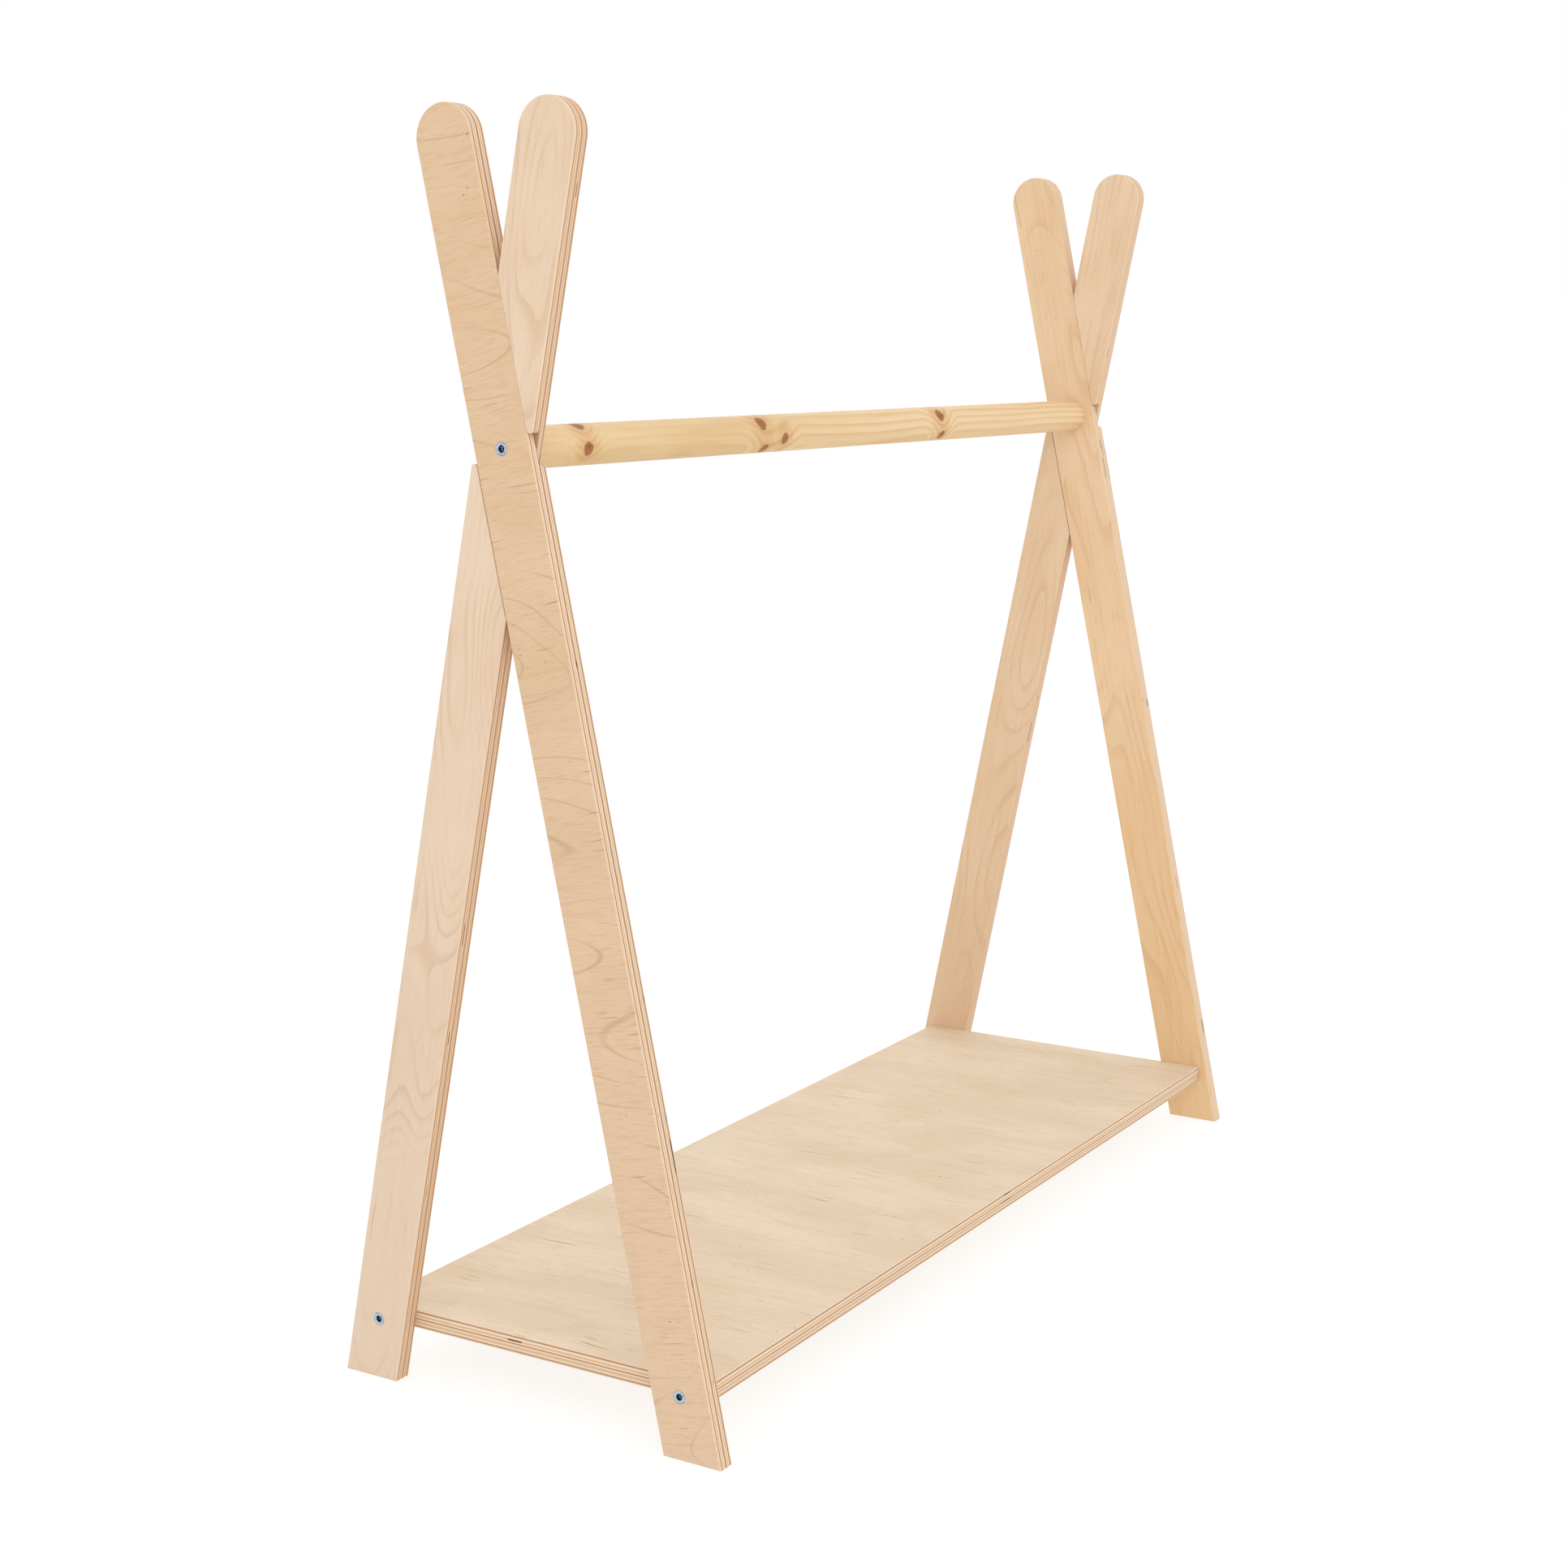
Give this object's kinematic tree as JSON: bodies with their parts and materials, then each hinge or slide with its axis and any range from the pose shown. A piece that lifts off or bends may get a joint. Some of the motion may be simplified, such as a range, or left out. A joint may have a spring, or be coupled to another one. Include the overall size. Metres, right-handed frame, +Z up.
{
  "type": "children's clothes rack",
  "caption": "Tipi-shaped wooden clothes rack: crossed plywood end frames carry a round hanging rail at the crossings and a low shelf near the floor.",
  "frame": {"origin": "on the floor, at the centre of the base", "axes": "+X runs along the rail, from the left frame to the right frame; -Y is the front; +Z is up"},
  "size_m": [0.93, 0.3426, 0.936],
  "materials": {
    "leg_plywood": "clear-oiled birch plywood with sanded edges that show the layers",
    "shelf_plywood": "clear-oiled pale birch plywood with sanded edges that show the layers",
    "pine": "smooth turned knotty pine",
    "zinc_steel": "bright zinc plate"
  },
  "bodies": {
    "root": {"left_outside_leg": "leg_plywood", "left_inside_leg": "leg_plywood", "right_outside_leg": "leg_plywood", "right_inside_leg": "leg_plywood", "shelf": "shelf_plywood", "rail": "pine", "left_rail_screw": "zinc_steel", "left_front_shelf_screw": "zinc_steel", "left_rear_shelf_screw": "zinc_steel", "right_rail_screw": "zinc_steel", "right_front_shelf_screw": "zinc_steel", "right_rear_shelf_screw": "zinc_steel"}
  },
  "joints": []
}
